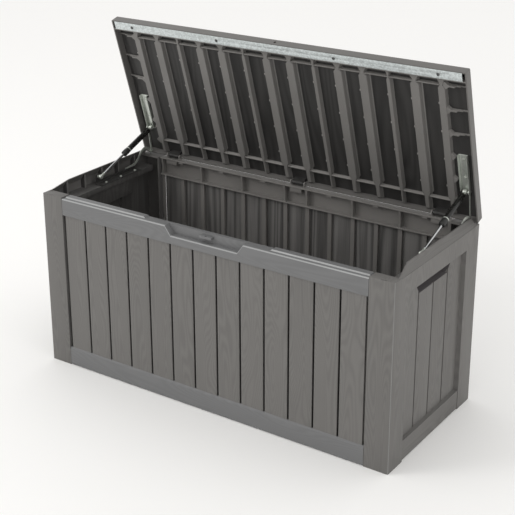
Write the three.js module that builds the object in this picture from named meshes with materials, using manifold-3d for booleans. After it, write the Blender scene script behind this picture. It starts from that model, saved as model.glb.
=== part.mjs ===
// A deck storage box: four ribbed resin walls and a floor that slot together, and a ribbed lid on
// three hinge pins, held open by two gas struts. Millimetres, +Z up, +X to the right along the
// front. The lid stands open at rest. The origin is under the middle of the whole open box.
import * as THREE from 'three';
import { mergeVertices } from 'three/addons/utils/BufferGeometryUtils.js';
import Module from 'manifold-3d';

const wasm = await Module();
wasm.setup();

// ---- Driving dimensions ----------------------------------------------------------------------
const length = 1230; // along the front
const depth = 510; // front face to back face, without the lid
const rimHeight = 570; // top of the corner posts above the floor
const wall = 4; // moulded skin
const gap = 0.3; // between pieces that touch
const lidOpenAngle = THREE.MathUtils.degToRad(73);

const plankPitch = 82;
const plankCount = 13;
const grooveWidth = 6;
const grooveDepth = 5;
const postFront = 77; // width of a corner post on the front and the back
const postSide = 80; // and on the side
const topRail = 57;
const bottomRail = 60;
const railDepth = 36; // front rail, front to back
const railThickness = 6;
const standOff = 3; // the walls end this far above the floor, between the posts

const hingeY = depth / 2 - 8; // the lid turns about this line
const hingeZ = 578;
const hingeCentres = [-492, 0, 492];
const lidReach = 492; // hinge line to the front edge of the lid
const lidTop = 26; // outer face above the hinge line, lid closed
const lidSkirt = -3; // lower edge of the skirt, lid closed
const ribCrest = 4; // lid rib crests above the hinge line, lid closed

const strutX = 574.5; // centre line of each gas strut, out from the middle
const baseStudY = -31;
const baseStudZ = 566;
const lidStudReach = 90; // lid ball stud from the hinge line, lid closed
const lidStudRise = 10;

const halfLength = length / 2;
const halfDepth = depth / 2;
const postInner = halfLength - postFront;
const skinTop = rimHeight - topRail;
const grooveX = [...Array(plankCount + 1)].map((_, i) => (i - plankCount / 2) * plankPitch);
const ledgeZ = 540; // top of the side ledges that carry the strut arms
const floorTop = 24;
const floorReach = 218; // middle of the box to the front and back edges of the floor

// ---- Materials -------------------------------------------------------------------------------
function finish(colour, roughness, metalness) {
  return new THREE.MeshStandardMaterial({ color: colour, roughness, metalness });
}
const resin = () => finish(0x76746f, 0.62, 0);
const insideResin = () => finish(0x6b6865, 0.66, 0);
const galvanised = () => finish(0xb4bab9, 0.42, 0.85);
const zinc = () => finish(0xa9aea6, 0.35, 0.9);
const darkSteel = () => finish(0x2b2b2a, 0.45, 0.75);
const blackPaint = () => finish(0x151514, 0.35, 0.3);
const blackPlastic = () => finish(0x1a1a19, 0.5, 0);
const polishedSteel = () => finish(0xb9bbbd, 0.2, 1);

// ---- Solids ----------------------------------------------------------------------------------
// A closed three.js geometry as a solid that can be joined and cut.
function solid(geometry) {
  const plain = geometry.clone();
  plain.deleteAttribute('normal');
  plain.deleteAttribute('uv');
  const merged = mergeVertices(plain, 1e-4);
  const triangles = [];
  for (let i = 0; i < merged.index.count; i += 3) {
    const [a, b, c] = [0, 1, 2].map((k) => merged.index.getX(i + k));
    if (a !== b && b !== c && c !== a) triangles.push(a, b, c);
  }
  return new wasm.Manifold(new wasm.Mesh({
    numProp: 3,
    vertProperties: merged.attributes.position.array,
    triVerts: new Uint32Array(triangles),
  }));
}

function block(x0, x1, y0, y1, z0, z1) {
  const box = new THREE.BoxGeometry(x1 - x0, y1 - y0, z1 - z0);
  return solid(box.translate((x0 + x1) / 2, (y0 + y1) / 2, (z0 + z1) / 2));
}

// An outline of [a, b] points pushed from one value to another along X (a = y, b = z),
// along Y (a = x, b = z) or along Z (a = x, b = y).
const frames = {
  x: [new THREE.Vector3(0, 1, 0), new THREE.Vector3(0, 0, 1), new THREE.Vector3(1, 0, 0)],
  y: [new THREE.Vector3(1, 0, 0), new THREE.Vector3(0, 0, 1), new THREE.Vector3(0, -1, 0)],
  z: [new THREE.Vector3(1, 0, 0), new THREE.Vector3(0, 1, 0), new THREE.Vector3(0, 0, 1)],
};
function prism(axis, points, from, to) {
  const shape = new THREE.Shape(points.map(([a, b]) => new THREE.Vector2(a, b)));
  const body = new THREE.ExtrudeGeometry(shape, { depth: to - from, bevelEnabled: false });
  body.applyMatrix4(new THREE.Matrix4().makeBasis(...frames[axis]));
  const start = { x: [from, 0, 0], y: [0, to, 0], z: [0, 0, from] }[axis];
  return solid(body.translate(...start));
}

// A round bar along one axis; (a, b) is where its centre line crosses the other two.
function bar(axis, radius, from, to, a, b, sides = 14) {
  const round = new THREE.CylinderGeometry(radius, radius, to - from, sides);
  const middle = (from + to) / 2;
  if (axis === 'x') return solid(round.rotateZ(Math.PI / 2).translate(middle, a, b));
  if (axis === 'y') return solid(round.translate(a, middle, b));
  return solid(round.rotateX(Math.PI / 2).translate(a, b, middle));
}

function join(pieces) {
  return pieces.reduce((sum, piece) => sum.add(piece));
}

function cut(body, pieces) {
  return pieces.reduce((rest, piece) => rest.subtract(piece), body);
}

// The finished solid as a named mesh in a parent group. side = -1 mirrors it to the left.
function place(parent, name, body, material, side = 1) {
  const sided = side < 0 ? body.mirror([1, 0, 0]) : body;
  // Merging the coplanar faces of the joined pieces keeps the mesh small.
  const { vertProperties, triVerts } = sided.asOriginal().simplify(0.001).getMesh();
  const geometry = new THREE.BufferGeometry();
  geometry.setAttribute('position', new THREE.BufferAttribute(vertProperties, 3));
  geometry.setIndex(new THREE.BufferAttribute(triVerts, 1));
  const mesh = new THREE.Mesh(geometry, material);
  mesh.name = name;
  parent.add(mesh);
}

const sides = [['right', 1], ['left', -1]];

// A pan-head screw along Z: its head sits above (up = 1) or below (up = -1) the face at z.
function screw(x, y, z, up, shank) {
  const headHeight = 2.4;
  const under = z + up * gap;
  const top = under + up * headHeight;
  const tip = z - up * shank;
  return bar('z', 4.6, Math.min(under, top), Math.max(under, top), x, y, 12)
    .add(bar('z', 2.1, Math.min(tip, under + up), Math.max(tip, under + up), x, y, 8));
}

// ---- Body ------------------------------------------------------------------------------------
const object = new THREE.Group();
const body = new THREE.Group();
object.add(body);

const skinFace = halfDepth - 4; // plank faces, behind the rail faces
const skinBack = skinFace - wall;
const ridgeBack = skinBack - 10;

// The part that the front and the back wall share, drawn as a back wall (outside towards +Y).
function plankWall(ridgeTop) {
  const end = postInner - gap;
  const pieces = [
    block(-end, end, skinBack, skinFace, standOff + 5, rimHeight - 8),
    block(-end, end, halfDepth - railThickness, halfDepth, skinTop, rimHeight - wall),
    prism('x', [
      [halfDepth - railThickness, standOff],
      [halfDepth, standOff],
      [halfDepth, standOff + bottomRail - 6],
      [halfDepth - 4, standOff + bottomRail],
      [halfDepth - railThickness, standOff + bottomRail],
    ], -end, end),
    block(-end, end, floorReach - 12, halfDepth - 1, standOff, standOff + wall),
  ];
  for (const x of grooveX) {
    const reach = Math.min(7, end - Math.abs(x));
    pieces.push(block(x - reach, x + reach, ridgeBack, skinBack + 1, standOff + 1, ridgeTop));
  }
  const grooves = grooveX.map((x) => block(
    x - grooveWidth / 2,
    x + grooveWidth / 2,
    skinFace - grooveDepth,
    skinFace + 0.01,
    standOff + bottomRail,
    skinTop,
  ));
  return cut(join(pieces), grooves);
}

function frontPanel() {
  const end = postInner - gap;
  const back = halfDepth - railDepth;
  const shoulder = rimHeight - wall;
  const notchFloor = 538;
  const notchBack = halfDepth - 22;
  const rail = join([
    block(-end, end, back, halfDepth, shoulder - wall, shoulder),
    block(-end, end, back, back + wall, skinTop, shoulder),
    block(-150, 150, back, halfDepth, notchFloor - wall, shoulder),
    ...[-1, 1].map((s) => prism('y', [
      [s * 225, shoulder - 1],
      [s * 221, rimHeight],
      [s * (end - 4), rimHeight],
      [s * (end - 4), shoulder - 1],
    ], back, halfDepth - 14)),
  ]);
  const notch = prism('y', [
    [-117, notchFloor],
    [117, notchFloor],
    [137, rimHeight + 1],
    [-137, rimHeight + 1],
  ], notchBack, halfDepth + 1);
  const keeper = cut(join([
    block(-22, 22, notchBack - 1, notchBack + 14, 554, 558),
    block(-22, -19, notchBack - 1, notchBack + 12, notchFloor - 1, 556),
    block(19, 22, notchBack - 1, notchBack + 12, notchFloor - 1, 556),
  ]), [bar('z', 3.5, 550, 562, 0, notchBack + 7)]);
  const panel = cut(plankWall(rimHeight - 6).add(rail), [notch]).add(keeper);
  return panel.mirror([0, 1, 0]);
}

function backPanel() {
  const end = postInner - gap;
  const shelfFront = halfDepth - 27;
  const ledgeTop = 512;
  const pieces = [
    plankWall(ledgeTop - 2),
    block(-end, end, shelfFront, halfDepth, rimHeight - wall, rimHeight),
    block(-end, end, shelfFront + 2, skinBack + 1, ledgeTop - wall, ledgeTop),
  ];
  for (const x of [41, 205, 369, 530]) {
    for (const s of [-1, 1]) {
      pieces.push(prism('x', [
        [skinBack + 1, ledgeTop - 1],
        [shelfFront + 4, ledgeTop - 1],
        [shelfFront + 4, 544],
        [shelfFront + 1, 552],
        [shelfFront + 1, rimHeight - 1],
        [skinBack + 1, rimHeight - 1],
      ], s * x - 3, s * x + 3));
    }
  }
  for (const x of [-451, -287, -123, 123, 287, 451]) {
    pieces.push(block(x - 9, x + 9, shelfFront + 1, skinBack + 1, 561, rimHeight - 1));
  }
  const slots = [];
  const bores = [];
  for (const x of hingeCentres) {
    pieces.push(block(x - 22, x + 22, shelfFront + 3, skinBack + 1, 550, rimHeight - 1));
    for (const s of [-1, 1]) {
      pieces.push(join([
        block(x + s * 25 - 2, x + s * 25 + 2, hingeY - 7, hingeY + 7, rimHeight - 1, hingeZ),
        bar('x', 7, x + s * 25 - 2, x + s * 25 + 2, hingeY, hingeZ),
      ]));
    }
    slots.push(block(x - 21, x + 21, hingeY - 8, halfDepth + 1, rimHeight - 2, rimHeight + 1));
    bores.push(bar('x', 3.3, x - 40, x + 40, hingeY, hingeZ));
  }
  return cut(join(pieces), [...slots, ...bores]);
}

// The right wall with its two corner posts, outside towards +X.
function sidePanel() {
  const fieldFace = halfLength - 15;
  const fieldBack = fieldFace - wall;
  const fieldEdge = halfDepth - postSide;
  const rimTop = 590; // the bevel rises to this rim inside the lid's skirt
  const rimStart = -251; // stays low under the lid's front lip, then climbs
  const rimClimb = hingeY - lidReach + 29;
  const inner = postInner;
  const pieces = [];
  for (const s of [-1, 1]) {
    const across = (a, b) => [Math.min(s * a, s * b), Math.max(s * a, s * b)];
    const front = across(halfDepth - wall, halfDepth);
    const flange = across(halfDepth - railDepth, halfDepth);
    const flank = across(fieldEdge, halfDepth);
    const step = across(fieldEdge, fieldEdge + wall);
    pieces.push(
      block(inner, halfLength, ...front, 0, rimHeight),
      block(inner, inner + wall, ...flange, 0, rimHeight),
      block(halfLength - wall, halfLength, ...flank, 0, 568),
      block(inner, halfLength, ...flank, 0, wall),
      block(inner, halfLength, ...flange, rimHeight - wall, rimHeight),
      block(fieldBack, halfLength, ...step, 0, skinTop + wall),
    );
  }
  // Recessed plank field, bottom rail and the flange that carries the floor.
  pieces.push(
    block(fieldBack, fieldFace, -fieldEdge - 1, fieldEdge + 1, standOff, skinTop + wall),
    block(halfLength - 8, halfLength - 2, -fieldEdge - 1, fieldEdge + 1, standOff, standOff + bottomRail),
    block(fieldBack, halfLength - 3, -fieldEdge - 1, fieldEdge + 1, standOff + bottomRail - wall,
      standOff + bottomRail),
    block(fieldBack - 22, fieldFace, -fieldEdge - 1, fieldEdge + 1, standOff, standOff + wall),
  );
  const sideGrooves = [-1, 0, 1].map((i) => i * fieldEdge / 2);
  for (const y of sideGrooves) {
    pieces.push(block(fieldBack - 8, fieldBack + 1, y - 6, y + 6, standOff + 1, 538));
  }
  // Top beam: outer wall, underside, bevel up to the rim, and the ledge with its lip inside.
  const beamEnd = halfDepth - railDepth + 1;
  pieces.push(
    block(halfLength - wall, halfLength, -beamEnd, beamEnd, skinTop, 568),
    block(fieldBack, halfLength, -fieldEdge - 1, fieldEdge + 1, skinTop, skinTop + wall),
    block(fieldBack, fieldFace, -fieldEdge - 1, fieldEdge + 1, skinTop, 538),
    block(562, halfLength - 1, -beamEnd, beamEnd, ledgeZ - wall, ledgeZ),
    block(562, 562 + wall, -beamEnd, beamEnd, 522, ledgeZ),
    cut(prism('y', [
      [halfLength - wall, 566],
      [halfLength, 566],
      [598, rimTop],
      [594, rimTop],
    ], rimStart, hingeY - 12), [
      prism('x', [
        [rimStart - 1, 568],
        [rimStart, 568],
        [rimClimb, 572.6],
        [rimClimb + 64, rimTop + 1],
        [rimStart - 1, rimTop + 1],
      ], 590, halfLength + 1),
    ]),
  );
  for (let i = 0; i < 5; i += 1) {
    const y = (i - 2) * 82;
    pieces.push(prism('y', [
      [halfLength - 1, ledgeZ - 1],
      [halfLength - 1, 566],
      [597, rimTop - 5],
      [595, rimTop - 5],
      [595, ledgeZ - 1],
    ], y - 3.5, y + 3.5));
  }
  // Hand grip: a pocket behind the underside of the beam.
  pieces.push(block(570, fieldBack + 1, -121, 121, 469, 537));
  const grip = prism('x', [[-84, 475], [84, 475], [112, 513], [112, 532], [-112, 532], [-112, 513]],
    574, halfLength - wall);
  const gripMouth = prism('x', [[-84, 488], [84, 488], [112, 513], [-112, 513]], 574, halfLength);
  const grooves = sideGrooves.map((y) => block(
    fieldFace - grooveDepth, fieldFace + 0.01, y - grooveWidth / 2, y + grooveWidth / 2,
    standOff + bottomRail, skinTop,
  ));
  const screwHoles = armScrewY.map((y) => bar('z', 2.5, 520, 545, strutX - 4, y, 12));
  return cut(join(pieces), [grip, gripMouth, ...grooves, ...screwHoles]);
}

function floorPanel() {
  const x1 = 585;
  const y1 = floorReach;
  const under = standOff + wall + gap;
  const pieces = [
    block(-x1, x1, -y1, y1, floorTop - wall, floorTop),
    ...[-1, 1].flatMap((s) => [
      block(-x1, x1, s * (y1 - 2) - 2, s * (y1 - 2) + 2, under, floorTop - 1),
      block(s * (x1 - 2) - 2, s * (x1 - 2) + 2, -y1, y1, under, floorTop - 1),
    ]),
  ];
  for (let i = -4; i <= 4; i += 1) {
    pieces.push(block(i * 130 - 2, i * 130 + 2, -y1 + 1, y1 - 1, under + 1, floorTop - 1));
  }
  for (const y of [-72, 72]) {
    pieces.push(block(-x1 + 1, x1 - 1, y - 2, y + 2, under + 2, floorTop - 1));
  }
  return join(pieces);
}

const armScrewY = [-10, 62, 134];

place(body, 'front_panel', frontPanel(), resin());
place(body, 'back_panel', backPanel(), insideResin());
for (const [name, side] of sides) {
  place(body, `${name}_side_panel`, sidePanel(), resin(), side);
}
place(body, 'floor_panel', floorPanel(), insideResin());
['left', 'middle', 'right'].forEach((name, i) => {
  const x = hingeCentres[i];
  place(body, `hinge_pin_${name}`, bar('x', 3, x - 28, x + 28, hingeY, hingeZ), polishedSteel());
});

// ---- Strut arms on the body ------------------------------------------------------------------
const flangeIn = 586.6; // inboard face of the base arm's upright flange
const flangeOut = 589;

// An L of steel screwed to the ledge, with an ear that holds the lower ball stud.
function baseArm() {
  const foot = ledgeZ + gap;
  const ear = 8;
  const steel = join([
    block(560, flangeOut, -43, 155, foot, foot + 2.5),
    block(flangeIn, flangeOut, -43, 155, foot, foot + 10),
    block(flangeIn, flangeOut, baseStudY - ear, baseStudY + ear, foot, baseStudZ),
    bar('x', ear, flangeIn, flangeOut, baseStudY, baseStudZ),
  ]);
  return cut(steel, [
    ...armScrewY.map((y) => bar('z', 2.5, foot - 1, foot + 4, strutX - 4, y, 12)),
    bar('x', 2.9, flangeIn - 1, flangeOut + 1, baseStudY, baseStudZ, 16),
  ]);
}

// The curved arm that rises from the base arm to the pivot on the hinge line.
function gooseneck() {
  const route = new THREE.CatmullRomCurve3([
    [113, 550], [150, 553], [175, 566], [191, 586], [211, 596], [231, 590], [hingeY, hingeZ],
  ].map(([y, z]) => new THREE.Vector3(0, y, z)));
  const steps = 14;
  const half = 4.5;
  const left = [];
  const right = [];
  for (let i = 0; i <= steps; i += 1) {
    const at = route.getPoint(i / steps);
    const along = route.getTangent(i / steps);
    left.push([at.y - along.z * half, at.z + along.y * half]);
    right.unshift([at.y + along.z * half, at.z - along.y * half]);
  }
  const x0 = flangeOut + gap;
  const x1 = x0 + 2;
  const curve = prism('x', [...left, ...right], x0, x1);
  return cut(curve.add(bar('x', 7, x0, x1, hingeY, hingeZ)).add(bar('x', half, x0, x1, 113, 550)), [
    bar('x', 3.3, x0 - 1, x1 + 1, hingeY, hingeZ),
  ]);
}

// A ball stud along X: ball inboard, shank through the ear.
function baseStud() {
  const ball = new THREE.SphereGeometry(4.2, 12, 8).translate(strutX + 2, baseStudY, baseStudZ);
  return join([
    solid(ball),
    bar('x', 2.5, strutX + 2, flangeOut + 1.5, baseStudY, baseStudZ, 16),
    bar('x', 4.8, flangeIn - gap - 2, flangeIn - gap, baseStudY, baseStudZ, 6),
  ]);
}

function pivotRivet() {
  const inner = 587.5 - gap;
  const outer = flangeOut + gap + 2 + gap;
  return join([
    bar('x', 3, inner - 1, outer + 1, hingeY, hingeZ),
    bar('x', 5, inner - 1.2, inner, hingeY, hingeZ),
    bar('x', 5, outer, outer + 1.2, hingeY, hingeZ),
  ]);
}

for (const [name, side] of sides) {
  place(body, `${name}_base_arm`, baseArm(), darkSteel(), side);
  place(body, `${name}_gooseneck`, gooseneck(), zinc(), side);
  place(body, `${name}_base_ball_stud`, baseStud(), zinc(), side);
  place(body, `${name}_pivot_rivet`, pivotRivet(), zinc(), side);
  armScrewY.forEach((y, i) => {
    const piece = screw(strutX - 4, y, ledgeZ + gap + 2.5, 1, 14);
    place(body, `${name}_base_arm_screw_${i + 1}`, piece, zinc(), side);
  });
}

// ---- Lid, drawn closed about the hinge line: -Y runs to its front edge, +Z is its outside -------
const lid = new THREE.Group();
lid.position.set(0, hingeY, hingeZ);
lid.rotation.x = -lidOpenAngle;
body.add(lid);

const plateUnder = lidTop - wall;
const webFront = -436; // cross webs at both ends of the rib crests
const webRear = -50;
const sideWebCount = 6; // webs at each end of the lid, in line with the cross webs at both ends
const armSeat = plateUnder - 1.6; // pads that the lid arms are screwed to
const armTop = armSeat - 0.4;
const stripScrewX = [-533, -205, 205, 533];
const armScrewReach = [-134, -196];
const stripScrewY = 16 - lidReach;

function lidPanel() {
  const rear = 4;
  const front = -lidReach;
  const pieces = [
    block(-halfLength, halfLength, front, rear, plateUnder, lidTop),
    block(-halfLength, halfLength, front, front + wall, lidSkirt, lidTop - 1),
    block(-halfLength, halfLength, front + 29, front + 29 + wall, lidSkirt, lidTop - 1),
    block(-halfLength, halfLength, rear - wall, rear, 8, lidTop - 1),
    block(-540, 540, webFront - 1.5, webFront + 1.5, ribCrest + 2, lidTop - 1),
    block(-540, 540, webRear - 1.5, webRear + 1.5, ribCrest + 2, lidTop - 1),
  ];
  for (const s of [-1, 1]) {
    const [a, b] = s > 0 ? [halfLength - wall, halfLength] : [-halfLength, wall - halfLength];
    pieces.push(block(a, b, front, rear, lidSkirt, lidTop - 1));
    for (let i = 0; i < sideWebCount; i += 1) {
      const y = webRear + (i * (webFront - webRear)) / (sideWebCount - 1);
      pieces.push(prism('y', [
        [s * 532, lidTop - 1],
        [s * 532, ribCrest + 2],
        [s * 574, ribCrest],
        [s * 580, 15],
        [s * (halfLength - 1), 15],
        [s * (halfLength - 1), lidTop - 1],
      ], y - 1.5, y + 1.5));
    }
  }
  // Ribs of T section, alternately wide and narrow at the crest.
  grooveX.forEach((x) => {
    const narrow = [123, 369].includes(Math.abs(x));
    const crest = narrow ? 6 : 13.5;
    pieces.push(block(x - 3, x + 3, webFront - 25, -2, ribCrest, lidTop - 1));
    pieces.push(block(x - crest, x + crest, webFront, webRear, ribCrest, ribCrest + 3));
  });
  const holes = grooveX.map((x) => block(
    x - grooveWidth / 2, x + grooveWidth / 2, front + 40, rear + 1, lidTop - 3, lidTop + 1,
  ));
  for (const x of stripScrewX) {
    pieces.push(bar('z', 6, lidSkirt, lidTop - 1, x, stripScrewY));
    holes.push(bar('z', 2.4, lidSkirt - 1, 14, x, stripScrewY, 12));
  }
  holes.push(bar('y', 4.5, front - 1, front + wall + 1, 0, 9));
  // Room for the hinge lugs, then the knuckles that the pins run in.
  for (const x of hingeCentres) {
    holes.push(bar('x', 9, x - 29, x + 29, 0, 0));
    holes.push(block(x - 29, x + 29, -9, 9, -9, 6));
  }
  for (const s of [-1, 1]) {
    const [a, b] = s > 0 ? [557, 597] : [-597, -557];
    holes.push(block(a, b, -219, 0, -9, armSeat));
  }
  let panel = cut(join(pieces), holes);
  for (const x of hingeCentres) {
    const stem = block(x - 20, x + 20, -6.5, 2, 0, lidTop - 1);
    panel = panel.add(stem).add(bar('x', 6.5, x - 20, x + 20, 0, 0));
  }
  const armScrews = [-1, 1].flatMap((s) => armScrewReach.map((y) => [s * strutX, y]));
  const pads = armScrews.map(([x, y]) => bar('z', 7, armSeat, lidTop - 1, x, y));
  const bores = [
    ...hingeCentres.map((x) => bar('x', 3.3, x - 40, x + 40, 0, 0)),
    ...armScrews.map(([x, y]) => bar('z', 2.4, armSeat - 2, lidTop - 0.8, x, y, 12)),
  ];
  return cut(join([panel, ...pads]), bores);
}

function reinforcingStrip() {
  const top = lidSkirt - gap;
  const plate = block(-603, 603, 2.5 - lidReach, 28.5 - lidReach, top - 1.5, top);
  return cut(plate, stripScrewX.map((x) => bar('z', 2.6, top - 3, top + 1, x, stripScrewY, 12)));
}

// Channel screwed to the lid, with an ear for the upper ball stud and a strap down to the pivot.
function lidArm() {
  const outer = [587.5, flangeOut];
  const steel = join([
    block(560, flangeOut, -212, -84, armTop - 1.5, armTop),
    block(560, 561.5, -212, -90, 8, armTop),
    block(...outer, -212, -84, 8, armTop),
    bar('x', 7, ...outer, -lidStudReach, lidStudRise),
    prism('x', [[4, -3.5], [4, 3.5], [-88, 15], [-88, 8]], ...outer),
    bar('x', 6.5, ...outer, 0, 0),
  ]);
  return cut(steel, [
    bar('x', 3.3, 580, 595, 0, 0),
    bar('x', 2.9, 580, 595, -lidStudReach, lidStudRise, 16),
    ...armScrewReach.map((y) => bar('z', 2.5, armTop - 3, armTop + 1, strutX, y, 12)),
  ]);
}

// The upper stud ends just short of the socket face.
function lidStud() {
  const flange = 587.5 - gap;
  return join([
    bar('x', 2.5, strutX + 6.5, flangeOut + 0.2, -lidStudReach, lidStudRise, 16),
    bar('x', 4.8, flange - 2, flange, -lidStudReach, lidStudRise, 6),
  ]);
}

place(lid, 'lid_panel', lidPanel(), resin());
place(lid, 'lid_reinforcing_strip', reinforcingStrip(), galvanised());
stripScrewX.forEach((x, i) => {
  const piece = screw(x, stripScrewY, lidSkirt - gap - 1.5, -1, 12);
  place(lid, `strip_screw_${i + 1}`, piece, zinc());
});
for (const [name, side] of sides) {
  place(lid, `${name}_lid_arm`, lidArm(), zinc(), side);
  place(lid, `${name}_lid_ball_stud`, lidStud(), zinc(), side);
  armScrewReach.forEach((y, i) => {
    place(lid, `${name}_lid_arm_screw_${i + 1}`, screw(strutX, y, armTop - 1.5, -1, 5.5), zinc(), side);
  });
}

// ---- Gas struts, drawn along +Y from the lower ball stud ----------------------------------------
const studY = hingeY - lidStudReach * Math.cos(lidOpenAngle) + lidStudRise * Math.sin(lidOpenAngle);
const studZ = hingeZ + lidStudReach * Math.sin(lidOpenAngle) + lidStudRise * Math.cos(lidOpenAngle);
const strutLength = Math.hypot(studY - baseStudY, studZ - baseStudZ);
const strutTilt = Math.atan2(studZ - baseStudZ, studY - baseStudY);
const cylinderStart = 128;
const cylinderEnd = strutLength - 14;

function rodSocket() {
  const cup = bar('x', 7, strutX - 6, strutX + 6, 0, 0);
  const neck = bar('y', 4.5, 5, 20, strutX, 0, 16);
  const seat = bar('x', 4.7, strutX - 2.8, strutX + 7, 0, 0);
  return cut(cup.add(neck), [seat]);
}

function cylinderSocket() {
  const cup = bar('x', 7, strutX - 6, strutX + 6, strutLength, 0);
  return cup.add(bar('y', 4.5, cylinderEnd + gap, strutLength - 4, strutX, 0, 16));
}

function ring(inner, outer, from, to) {
  const hole = bar('y', inner, from - 1, to + 1, strutX, 0, 18);
  return cut(bar('y', outer, from, to, strutX, 0, 18), [hole]);
}

function cylinderTube() {
  const tube = bar('y', 9, cylinderStart, cylinderEnd, strutX, 0, 18);
  return cut(tube, [bar('y', 4.6, cylinderStart - 1, cylinderEnd - 8, strutX, 0, 16)]);
}

for (const [name, side] of sides) {
  const strut = new THREE.Group();
  strut.position.set(0, baseStudY, baseStudZ);
  strut.rotation.x = strutTilt;
  body.add(strut);
  place(strut, `${name}_rod_socket`, rodSocket(), zinc(), side);
  place(strut, `${name}_rod`, bar('y', 4, 20 + gap, 155, strutX, 0, 16), polishedSteel(), side);
  place(strut, `${name}_cylinder`, cylinderTube(), blackPaint(), side);
  place(strut, `${name}_guide_collar`, ring(9.3, 11, 125, 147), blackPlastic(), side);
  place(strut, `${name}_trim_ring`, ring(9.3, 10.2, 150, 156), zinc(), side);
  place(strut, `${name}_cylinder_socket`, cylinderSocket(), zinc(), side);
}

// The open lid leans out past the back wall, so the middle of the whole is behind the body's.
const lidBack = hingeY + 4 * Math.cos(lidOpenAngle) + lidTop * Math.sin(lidOpenAngle);
body.position.y = -(lidBack - halfDepth) / 2;

export default object;
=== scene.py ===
# A deck storage box: ribbed resin walls, a ribbed lid on three hinge pins, and two gas struts.
# Metres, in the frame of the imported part: +Z up, +X to the right along the front.
import math

import bmesh
import bpy
from mathutils import Matrix, Vector


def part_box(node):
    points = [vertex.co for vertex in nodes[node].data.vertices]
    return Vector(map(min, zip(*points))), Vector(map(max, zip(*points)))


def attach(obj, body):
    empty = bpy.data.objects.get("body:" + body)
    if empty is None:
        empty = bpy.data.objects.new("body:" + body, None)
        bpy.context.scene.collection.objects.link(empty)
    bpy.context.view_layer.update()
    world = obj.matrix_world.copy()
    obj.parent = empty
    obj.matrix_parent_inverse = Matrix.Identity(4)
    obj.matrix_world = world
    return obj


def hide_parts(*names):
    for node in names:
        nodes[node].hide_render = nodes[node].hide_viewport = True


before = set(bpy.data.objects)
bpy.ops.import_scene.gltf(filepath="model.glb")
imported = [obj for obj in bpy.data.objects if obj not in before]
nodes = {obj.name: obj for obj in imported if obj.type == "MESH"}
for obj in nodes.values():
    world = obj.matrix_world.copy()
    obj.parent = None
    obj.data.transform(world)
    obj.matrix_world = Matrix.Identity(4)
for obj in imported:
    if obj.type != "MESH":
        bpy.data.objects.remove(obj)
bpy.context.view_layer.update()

# ---- Front wall ----------------------------------------------------------------------------------
# One injection-moulded panel of grey polypropylene with a wood-grain face: thirteen upright boards
# between a bottom rail and a hollow top rail. The top rail dips to a finger notch in the middle, with
# a keeper tab for a padlock. The panel slots in between the corner posts.


def fit(tree, kind, plugs=None, **settings):
    """One node of a material or geometry tree, with its settings and what is plugged into it."""
    made = tree.nodes.new(kind)
    for key, value in settings.items():
        setattr(made, key, value)
    for key, value in (plugs or {}).items():
        if isinstance(value, bpy.types.NodeSocket):
            tree.links.new(value, made.inputs[key])
        else:
            made.inputs[key].default_value = value
    return made


def sums(tree, operation, a, b=0.0, c=0.0):
    """One step of arithmetic in a tree."""
    return fit(tree, "ShaderNodeMath", {0: a, 1: b, 2: c}, operation=operation).outputs[0]


def blend(tree, *shares):
    """Adds up values, each by its own weight."""
    total = None
    for value, weight in shares:
        part = sums(tree, "MULTIPLY", value, weight)
        total = part if total is None else sums(tree, "ADD", total, part)
    return total


def two_tones(tree, level, dark, light, start, end):
    """A run of colour from a dark tone to a light one, between two levels."""
    ramp = fit(tree, "ShaderNodeValToRGB", {0: level})
    for element, tone, place in zip(ramp.color_ramp.elements, (dark, light), (start, end)):
        element.position = place
        element.color = (*tone, 1)
    return ramp.outputs[0]


def bare_material(name):
    """A new material, its empty tree, and the place of each point on the piece."""
    material = bpy.data.materials.new(name)
    material.use_nodes = True
    tree = material.node_tree
    tree.nodes.clear()
    return material, tree, fit(tree, "ShaderNodeTexCoord").outputs["Object"]


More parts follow.
